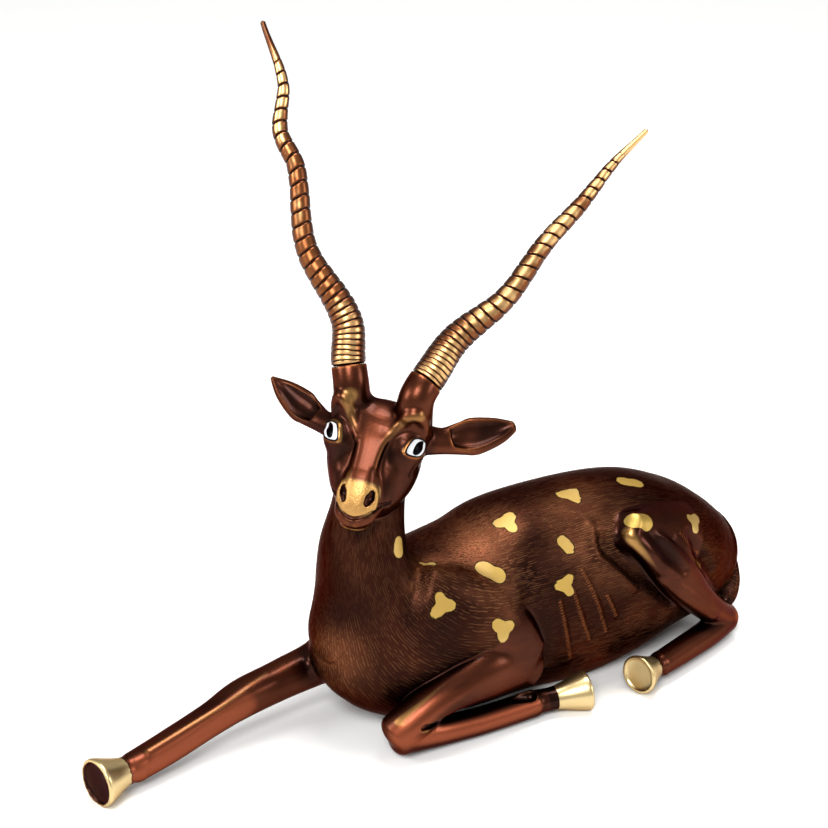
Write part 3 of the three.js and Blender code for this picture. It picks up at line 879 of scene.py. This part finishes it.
def horn(name):
    """Radius: a curve from the base to the tip, less a groove exp(-(distance from a ring line / width)^2).
    The rings lean: their count is shifted by the cosine of the angle."""
    t = np.linspace(0, 1, HORN_ROWS)
    line = horn_line(name, t)
    run = run_along(line)
    ahead = unit(horn_line(name, np.minimum(t + 0.01, 1)) - horn_line(name, np.maximum(t - 0.01, 0)))
    across = unit([0, 1, 0] - ahead * ahead[:, 1:2])
    up = np.cross(ahead, across)
    radius, pitch = (through(np.array(v)[:, None], (len(v) - 1) * t)[:, 0] for v in (TAPER, RING_PITCH))
    count = np.cumsum(np.gradient(run) / pitch)
    angle = 2 * np.pi * np.arange(HORN_SIDES) / HORN_SIDES
    lean = RING_LEAN * np.cos(angle - 0.7) * soft(t, 0.02, 0.12)[:, None]
    lean = lean + RING_WOBBLE * np.sin(2 * angle + 9 * t[:, None])
    phase = count[:, None] + lean / pitch[:, None]
    gap = np.abs(phase - np.round(phase)) * pitch[:, None]
    width = (0.6 + 0.5 * soft(t, 0.06, 0.2))[:, None]
    groove = np.exp(-((gap / width) ** 2))
    fade = (1 - soft(run, run[-1] - 60, run[-1] - 22))[:, None] * soft(t, 0.0, 0.012)[:, None]
    wave = 0.35 * np.sin(3 * phase + 2 * angle) * fade
    depth = RING_DEPTH * (0.45 + 0.55 * soft(t, 0.04, 0.2) - 0.45 * soft(t, 0.5, 0.95))[:, None]
    thick = radius[:, None] + 0.5 * RING_DEPTH * (1 - 0.5 * t[:, None]) * fade
    thick = thick - depth * groove * fade + 0.3 * wave
    thick -= (BASE_ROUND * (1 - soft(run, 0, 2.5)))[:, None]
    line = line + ahead * (HORN_GAP * (1 - soft(t, 0, 0.02)))[:, None]
    out = np.cos(angle)[None, :, None] * across[:, None] + np.sin(angle)[None, :, None] * up[:, None]
    grid = line[:, None] + thick[..., None] * out
    points = np.concatenate([grid.reshape(-1, 3), line[:1], line[-1:] + 2 * ahead[-1:]])
    n = HORN_ROWS * HORN_SIDES
    j = np.arange(HORN_SIDES)
    k = (j + 1) % HORN_SIDES
    last = n - HORN_SIDES
    foot = np.stack([np.full_like(j, n), k, j], -1)
    top = np.stack([np.full_like(j, n + 1), j + last, k + last], -1)
    faces = wrap(HORN_ROWS, HORN_SIDES).tolist() + foot.tolist() + top.tolist()
    piece = into_mesh("antelope_horn_" + name, points, faces)
    piece.data.shade_smooth()
    dark = np.maximum(groove * fade, 1 - soft(run, 1.0, 2.2)[:, None])
    shade = np.exp(-((gap / (2.6 * width)) ** 2)) * fade
    # Over the grid, then at the middle of the foot and at the tip
    keep(piece, groove=np.append(dark, [1, 0]), shade=np.append(shade, [1, 0]),
         run=np.append(np.repeat(t, HORN_SIDES), [0, 1]), bright=np.append(out @ unit(RUBBED_WAY), [0, 1]))
    return piece


horns = {name: horn(name) for name in HORNS}
print({piece.name: len(piece.data.polygons) for piece in horns.values()}, "faces")

# %% [markdown]
# Materials are node trees. Writing them as sums and products is shorter and can be read, so one class wraps
# a socket: an expression adds Math nodes, and any other node comes from one method.

# %% Shader expressions
class Wire:
    """A socket in a material's node tree, or just the tree where nothing is wired yet."""

    def __init__(self, tree, socket=None):
        self.tree, self.socket = tree, socket

    def node(self, kind, settings, sockets, out=0):
        """Adds a node: its settings first, then a value or a wire for each named socket."""
        made = self.tree.nodes.new(kind)
        for name, value in settings.items():
            setattr(made, name, value)
        for name, value in sockets.items():
            if isinstance(value, Wire):
                self.tree.links.new(value.socket, made.inputs[name])
            else:
                made.inputs[name].default_value = value
        return Wire(self.tree, made.outputs[out])

    def math(self, operation, *values):
        return self.node("ShaderNodeMath", {"operation": operation}, dict(enumerate(values)))

    def __add__(self, other):
        return self.math("ADD", self, other)

    def __sub__(self, other):
        return self.math("SUBTRACT", self, other)

    def __rsub__(self, other):
        return self.math("SUBTRACT", other, self)

    def __mul__(self, other):
        return self.math("MULTIPLY", self, other)

    __radd__, __rmul__ = __add__, __mul__

    def rise(self, low, high):
        """0 below low, 1 above high, smooth between."""
        return self.node("ShaderNodeMapRange", {"interpolation_type": "SMOOTHSTEP"},
                         {"Value": self, "From Min": low, "From Max": high})

    def attribute(self, name, out="Fac"):
        return self.node("ShaderNodeAttribute", {"attribute_name": name}, {}, out)

    def noise(self, vector, scale, detail=2.0, distortion=0.0):
        return self.node("ShaderNodeTexNoise", {}, {"Vector": vector, "Scale": scale, "Detail": detail,
                                                    "Distortion": distortion})

    def times(self, vector):
        """A vector wire, each part times a number."""
        return self.node("ShaderNodeVectorMath", {"operation": "MULTIPLY"}, {0: self, 1: vector})

    def mix(self, low, high):
        """A colour that goes from low to high with this value."""
        return self.node("ShaderNodeMix", {"data_type": "RGBA"}, {0: self, 6: low, 7: high}, 2)

    def into(self, shader, name):
        self.tree.links.new(self.socket, shader.inputs[name])


def rgb(red, green, blue):
    return (red, green, blue, 1.0)


def finish(piece, name):
    """A new material on a piece: its Principled shader, and a wire to build from."""
    material = bpy.data.materials.new(name)
    material.use_nodes = True
    piece.data.materials.append(material)
    return material.node_tree.nodes["Principled BSDF"], Wire(material.node_tree)


# %% Lacquered brass with bright spots and painted eyes
UMBER = rgb(0.020, 0.007, 0.005)
CHESTNUT = rgb(0.105, 0.028, 0.013)
COPPER = rgb(0.40, 0.125, 0.040)
RUSSET = rgb(0.32, 0.078, 0.034)
BRONZE = rgb(0.22, 0.074, 0.034)
STROKE = rgb(0.45, 0.20, 0.085)
HOOF_BRASS = rgb(0.66, 0.50, 0.25)
GILT = rgb(0.50, 0.27, 0.085)
SPOT = rgb(0.50, 0.33, 0.085)
BRASS = rgb(0.62, 0.43, 0.17)
ENGRAVED = rgb(0.012, 0.006, 0.004)
ENAMEL = rgb(0.62, 0.63, 0.65)
BLACK = rgb(0.004, 0.004, 0.005)
GLANCE = rgb(0.52, 0.39, 0.36)
COAT = 0.07
RELIEF = 0.0006

shader, wire = finish(body, "lacquered_brass")
place = wire.node("ShaderNodeTexCoord", {}, {}, "Object")
lie = wire.attribute("lie", "Vector")
nook, ridge, spots, hooves, nose = map(wire.attribute, ("nook", "ridge", "spot", "hoof", "nose"))
worn, warm, white, pupil = map(wire.attribute, ("worn", "warm", "white", "pupil"))

# Hair: combed lines along the spine, so many in a turn round the barrel and round the neck, broken into
# strokes and ragged at their ends
HAIRS = (260, 180)
run, wide, high = (wire.node("ShaderNodeSeparateXYZ", {}, {"Vector": lie}, axis) for axis in "XYZ")
turn = wire.math("ARCTAN2", wide, high)
wander = wire.noise(lie.times((0.05, 0.1, 0.1)), 1.0, 2.0) * 9
broken = wire.noise(lie.times((0.06, 0.35, 0.35)), 1.0, 1.0)
on_neck = run.rise(300.0, 350.0)
comb = [wire.math("SINE", turn * count + wander).rise(-0.3, 0.8) for count in HAIRS]
stroke = (comb[0] * (1 - on_neck) + comb[1] * on_neck) * broken.rise(0.42, 0.58)
hair = (wire.attribute("hair") + (broken - 0.5) * 1.2).rise(0.3, 0.7)
patches = wire.noise(place, 9.0, 3.0)
cloudy = patches.rise(0.3, 0.7)
streaks = wire.noise(lie.times((0.02, 0.09, 0.09)), 1.0, 3.0, 0.3)
ticks = wire.math("SINE", wire.attribute("beat") * 1.9).rise(-0.2, 0.6)
ticks = ticks * (1 - wire.attribute("rib").rise(1.2, 3.2))

# Lacquer: darkened in the hollows as painted shade, thinner on the ridges and where hands rub
thin = (1 - hair) * 0.35 + patches.rise(0.35, 0.75) * 0.45 + streaks.rise(0.45, 0.8) * 0.15 - nook * 0.9
lacquer = thin.rise(0.0, 1.0).mix(UMBER, CHESTNUT)
rub = ridge.rise(0.25, 1.4) * (1 - hair * 0.6) * cloudy
lacquer = (rub * 0.8).mix(lacquer, COPPER)
# Painted highlights in russet on the legs and the bridge
lacquer = ((warm - patches * 0.6).rise(-0.1, 0.8) * (1 - hair) * 0.7).mix(lacquer, RUSSET)
# Painted sheen: the coat turns bronze, and its strokes lighter, round the SHEEN middles
sheen = wire.attribute("sheen") * hair
lacquer = (sheen * cloudy * 0.8).mix(lacquer, BRONZE)
lacquer = (hair * stroke * (patches.rise(0.4, 0.7) * 0.12 + 0.04 + sheen * 0.2)).mix(lacquer, STROKE)
lacquer = (ticks * 0.3).mix(lacquer, COPPER)
# Gilt where brass is rubbed bare, and painted highlights at the knee and along the shin
lacquer = ((worn - patches * 0.4).rise(0.0, 0.9) * 0.8).mix(lacquer, GILT)
let_in = spots.rise(-0.25, 0.25)
gilding = patches.rise(0.4, 0.65).mix(SPOT, BRASS)
lacquer = let_in.mix(lacquer, gilding)
muzzle = (nose + (patches - 0.5) * 0.6).rise(0.25, 0.75)
bright = wire.math("MAXIMUM", hooves.rise(-0.4, 0.4), muzzle)
stipple = wire.node("ShaderNodeTexVoronoi", {}, {"Vector": place, "Scale": 420.0}).rise(0.1, 0.5)
antique = (nose * 2).mix(HOOF_BRASS, (stipple * 0.6 + cloudy * 0.4 + 0.1).mix(BRASS, GILT))
# Bright brass on the hooves and muzzle, dimmed in the hollows as painted shade
colour = (bright * (1 - nook.rise(0.5, 0.9))).mix(lacquer, antique)
band = hooves.rise(-11.0, -9.0) * (1 - bright)
colour = band.mix(colour, UMBER)
line = (1 - wire.math("ABSOLUTE", spots).rise(0.3, 1.0)) * hair
colour = (line * 0.85).mix(colour, ENGRAVED)
painted = white.rise(-0.2, 0.2)
rim = white.rise(-1.7, -1.3)
enamel = painted * (1 - pupil.rise(-0.2, 0.2))
colour = rim.mix(colour, BLACK)
colour = enamel.mix(colour, ENAMEL)
colour.into(shader, "Base Color")
(1 - enamel).into(shader, "Metallic")
rough = 0.24 + patches * 0.14 + hair * 0.12 + let_in * 0.16 + nose * 0.14 + warm * 0.1
rough.into(shader, "Roughness")
((1 - hair) * COAT * (1 - painted)).into(shader, "Coat Weight")
shader.inputs["Coat Roughness"].default_value = 0.12
# The lacquer stays brown where it is seen at a glancing angle
shader.inputs["Specular Tint"].default_value = GLANCE

# Relief: chased strokes, punch marks, stippled muzzle and cast grain
grain = wire.noise(place, 420.0, 2.0)
height = hair * stroke * (1 - let_in) + ticks * 0.7
height = height + grain * 0.2 * (1 - bright) * (1 - painted) + nose * stipple * 0.5
bump = wire.node("ShaderNodeBump", {}, {"Height": height, "Strength": 0.8, "Distance": RELIEF})
bump.into(shader, "Normal")
print("lacquered brass:", len(wire.tree.nodes), "nodes")

# %% Horn brass
HORN_BROWN = rgb(0.075, 0.022, 0.012)
HORN_COPPER = rgb(0.36, 0.125, 0.04)
HORN_GOLD = rgb(0.78, 0.49, 0.21)
HORN_DARK = rgb(0.018, 0.007, 0.004)
for piece in horns.values():
    shader, wire = finish(piece, piece.name + "_brass")
    place = wire.node("ShaderNodeTexCoord", {}, {}, "Object")
    groove, shade, bright, run = map(wire.attribute, ("groove", "shade", "bright", "run"))
    cloud = wire.noise(place, 34.0, 3.0)
    aged = wire.noise(place, 9.0, 2.0)
    # Gold and copper on the side turned towards the camera: partly rubbed brass, partly a painted highlight
    front = (bright + (cloud - 0.5) * 0.9 + (aged - 0.5) * 2.0).rise(0.72, 1.0)
    land = (1 - groove).rise(0.55, 1.0)
    lit = wire.math("MAXIMUM", front, bright.rise(0.3, 0.98) * 0.55)
    colour = (lit * land).mix(HORN_BROWN, HORN_COPPER)
    colour = (front * land * (1 - shade * 0.7)).mix(colour, HORN_GOLD)
    tip = HORN_GOLD if piece is horns["left"] else HORN_BROWN
    colour = (run.rise(0.86, 0.96) * 0.9).mix(colour, tip)
    colour = groove.rise(0.25, 0.8).mix(colour, HORN_DARK)
    colour.into(shader, "Base Color")
    (0.26 + cloud * 0.16).into(shader, "Roughness")
    shader.inputs["Metallic"].default_value = 1.0
print("horn brass on", len(horns), "horns")

# %% [markdown]
# The picture is taken from the front left of the animal, a little above it, with a long lens. The floor is
# pale and so is the room, and large soft lights give the broad highlights of polished metal.

# %% Camera
CAMERA_TARGET = Vector((-0.120, 0.012, 0.328))
CAMERA_BACK = Vector((-0.480, -0.769, 0.4226)).normalized()
CAMERA_DISTANCE = 2.2
SENSOR = 36.0
# The lens's focal length and the picture's width, in pixels
FOCAL, PICTURE = 2200, 828
camera = bpy.data.objects.new("camera", bpy.data.cameras.new("camera"))
bpy.context.scene.collection.objects.link(camera)
camera.location = CAMERA_TARGET + CAMERA_DISTANCE * CAMERA_BACK
camera.rotation_mode = "QUATERNION"
camera.rotation_quaternion = (-CAMERA_BACK).to_track_quat("-Z", "Y")
camera.data.sensor_width = SENSOR
camera.data.lens = SENSOR * FOCAL / PICTURE
bpy.context.scene.camera = camera
bpy.context.scene.view_settings.view_transform = "Standard"

# %% Floor, room and lights
FLOOR_REACH = 30_000.0
ROOM_STRENGTH = 0.46
SUN_STAND, SUN_STRENGTH = (-1.3, -1.2, 2.0), 2.4
SUN_ANGLE = np.radians(24)
corners = np.array([[-1, -1, 0], [1, -1, 0], [1, 1, 0], [-1, 1, 0]]) * FLOOR_REACH
floor = into_mesh("floor", corners, [[0, 1, 2, 3]])
shader, _ = finish(floor, "pale_floor")
shader.inputs["Base Color"].default_value = rgb(0.86, 0.86, 0.85)
shader.inputs["Roughness"].default_value = 0.9
world = bpy.data.worlds.new("room")
bpy.context.scene.world = world
world.use_nodes = True
background = world.node_tree.nodes["Background"]
background.inputs["Color"].default_value = rgb(1.0, 0.99, 0.97)
background.inputs["Strength"].default_value = ROOM_STRENGTH
# name: where it stands, width, watts
LIGHTS = {
    "top": ((0.3, 0.2, 2.4), 1.0, 45),
    "fill": ((1.5, -1.8, 1.1), 0.8, 16),
    "left": ((-2.0, 0.5, 1.2), 0.8, 20),
}


def lamp(name, kind, stand, power):
    """A light that looks at the middle of the animal."""
    made = bpy.data.objects.new(name, bpy.data.lights.new(name, kind))
    bpy.context.scene.collection.objects.link(made)
    made.data.energy = power
    made.location = stand
    made.rotation_euler = (CAMERA_TARGET - Vector(stand)).to_track_quat("-Z", "Y").to_euler()
    return made.data


for name, (stand, width, watts) in LIGHTS.items():
    lamp(name, "AREA", stand, watts).size = width
lamp("key", "SUN", SUN_STAND, SUN_STRENGTH).angle = SUN_ANGLE
print(len(LIGHTS) + 1, "soft lights")

# %% Each piece set under the root, in place of the frame's part that it stands for
for piece, node, slot in (
    (body, "body", "lacquered_brass"),
    (horns["left"], "horn_left", "horn_brass"),
    (horns["right"], "horn_right", "horn_brass"),
):
    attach(piece, "root")
    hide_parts(node)
